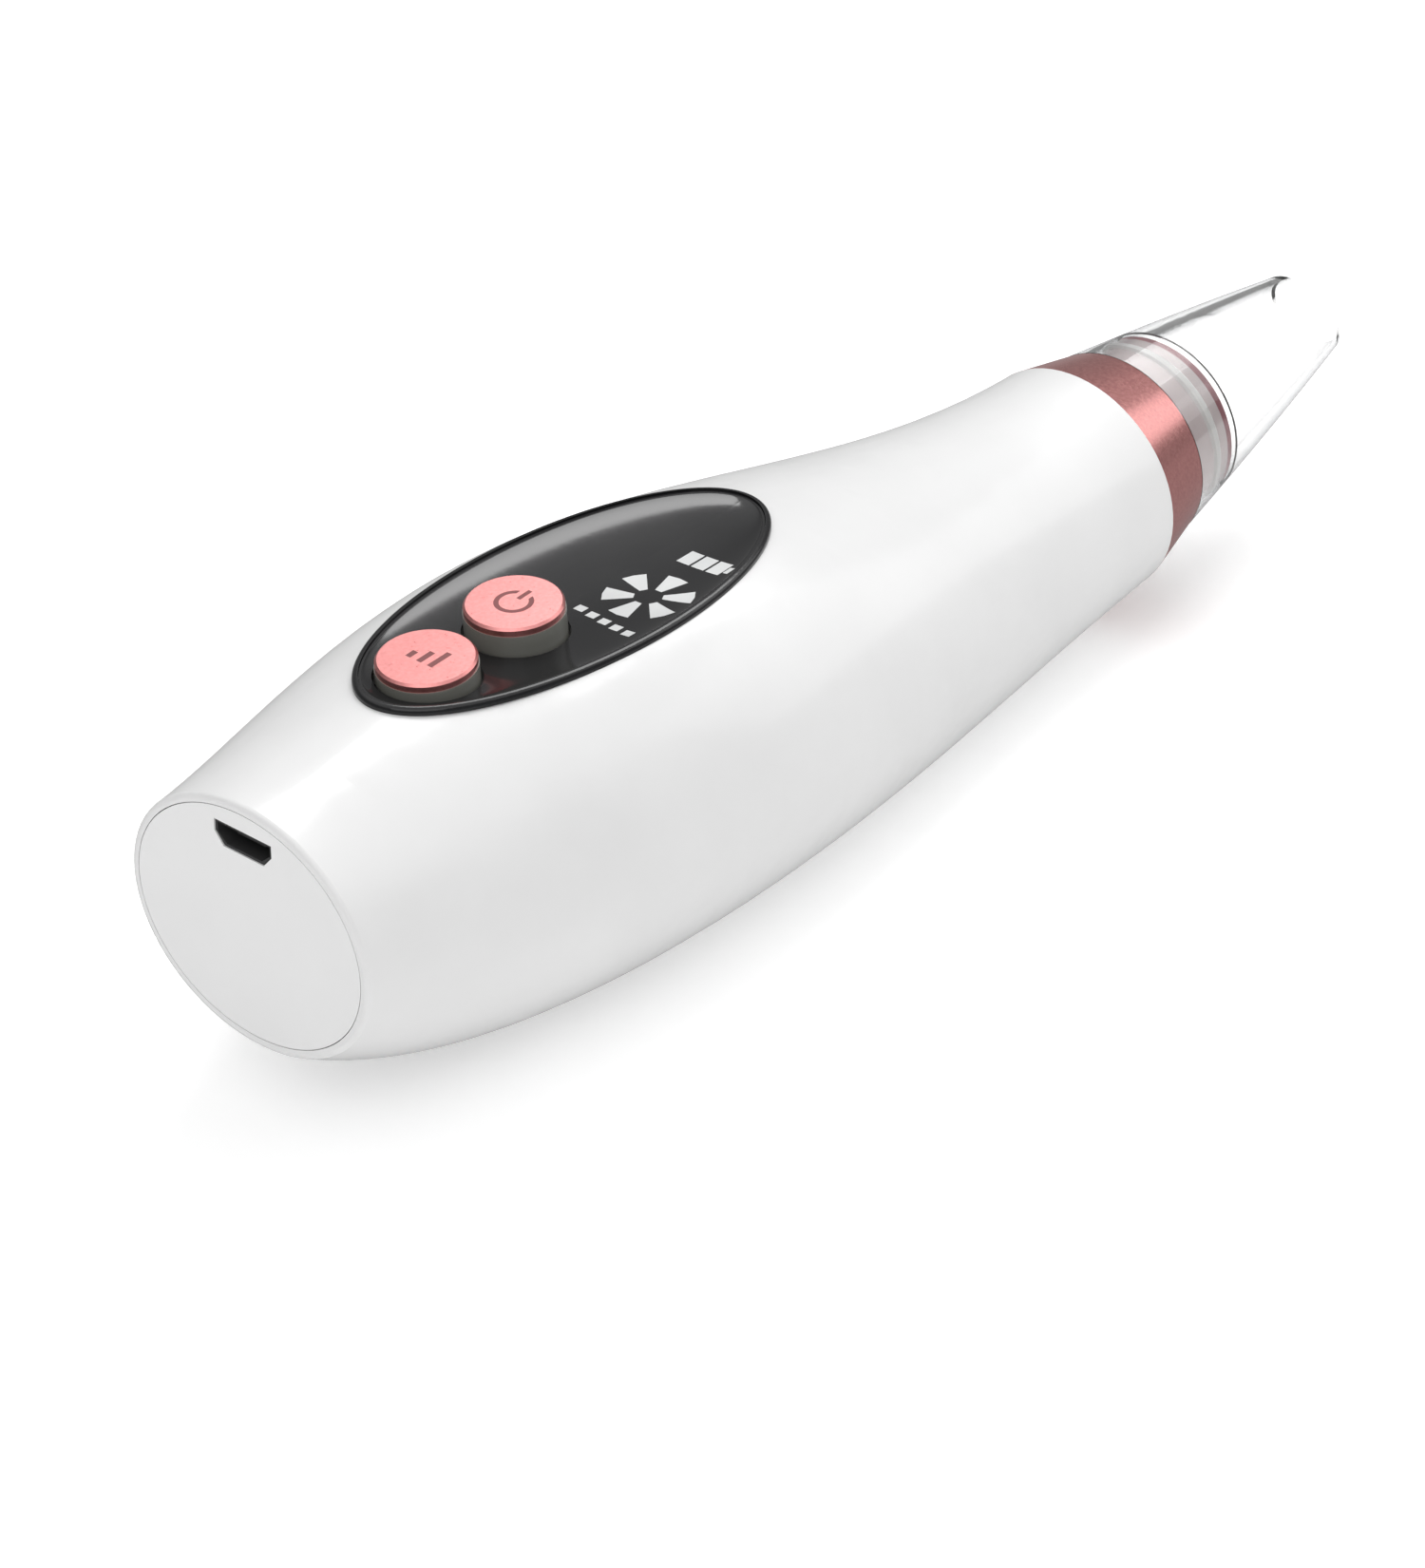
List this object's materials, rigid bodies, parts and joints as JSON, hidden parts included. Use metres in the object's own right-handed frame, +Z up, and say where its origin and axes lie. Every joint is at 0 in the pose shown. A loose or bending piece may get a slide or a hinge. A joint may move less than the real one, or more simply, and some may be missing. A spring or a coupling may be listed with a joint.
{
  "type": "blackhead vacuum extractor",
  "caption": "Hand-held pore vacuum: oval white body with a black display panel, metallic push buttons, a metallic collar and a clear removable suction tip.",
  "frame": {"origin": "centre of the footprint of the whole object, on the surface that it lies on, belly down", "axes": "+X from the flat end cap to the suction mouth, +Z up through the control panel, +Y to the left seen from the end cap"},
  "size_m": [0.1819, 0.05, 0.0435],
  "materials": {
    "white_housing": "satin white moulded plastic",
    "black_panel": "high-gloss black",
    "display_lens": "high-gloss smoked",
    "display_mark": "translucent white print",
    "rose_metal": "rose-gold satin metallic",
    "button_symbol": "dark engraved paint",
    "button_skirt": "smoked translucent grey",
    "clear_tip": "clear moulded plastic",
    "white_seat": "white moulded plastic",
    "silicone": "translucent white silicone",
    "sponge": "open-cell foam",
    "steel": "plated steel",
    "copper": "enamelled copper winding",
    "inner_plastic": "moulded black plastic",
    "board_green": "solder-mask green",
    "cell_wrap": "blue shrink wrap",
    "lead_red": "red insulation",
    "lead_black": "black insulation",
    "diaphragm_rubber": "black rubber"
  },
  "bodies": {
    "handle": {"main_housing": "white_housing", "end_cap": "white_housing", "charging_socket_shell": "steel", "charging_socket_tongue": "inner_plastic", "panel_bezel": "black_panel", "display_lens": "display_lens", "mode_petals": "display_mark", "charge_gauge": "display_mark", "legend_dashes": "display_mark", "light_guide": "clear_tip", "power_switch": "inner_plastic", "level_switch": "inner_plastic", "front_collar": "rose_metal", "tip_spigot": "white_seat", "spigot_seal": "silicone", "spigot_ring": "rose_metal", "filter_sponge": "sponge", "inner_tray": "inner_plastic", "main_board": "board_green", "board_screws": "steel", "indicator_leds": "display_mark", "battery_cell": "cell_wrap", "battery_tabs": "steel", "battery_clip_rear": "inner_plastic", "battery_clip_front": "inner_plastic", "battery_lead_rear": "lead_black", "battery_lead_front": "lead_red", "motor_leads": "lead_red", "motor_clamp": "inner_plastic", "motor_can": "steel", "motor_magnets": "inner_plastic", "motor_end_bell": "white_seat", "pump_base": "inner_plastic", "swing_plate": "white_seat", "pump_diaphragm": "diaphragm_rubber", "valve_plate": "white_seat", "pump_head": "inner_plastic", "pump_screws": "steel", "air_hose": "silicone"},
    "power_button": {"power_button_cap": "rose_metal", "power_button_symbol": "button_symbol", "power_button_skirt": "button_skirt"},
    "level_button": {"level_button_cap": "rose_metal", "level_button_symbol": "button_symbol", "level_button_skirt": "button_skirt"},
    "tip": {"suction_tip": "clear_tip"},
    "motor_rotor": {"motor_armature": "copper", "motor_shaft": "steel", "crank_disc": "white_seat"}
  },
  "joints": [
    {"name": "power_button_press", "type": "slide", "parent": "handle", "child": "power_button", "axis": [0.0698, 0, -0.9976], "range_m": [0, 0.0005], "stiffness_N_per_m": 900},
    {"name": "level_button_press", "type": "slide", "parent": "handle", "child": "level_button", "axis": [0.0698, 0, -0.9976], "range_m": [0, 0.0005], "stiffness_N_per_m": 900},
    {"name": "suction_tip_pull", "type": "slide", "parent": "handle", "child": "tip", "axis": [0.9954, 0, 0.0958], "range_m": [0, 0.015]},
    {"name": "motor_spin", "type": "hinge", "parent": "handle", "child": "motor_rotor", "pos_m": [-0.02, 0, 0.0172], "axis": [1, 0, 0], "continuous": true}
  ]
}
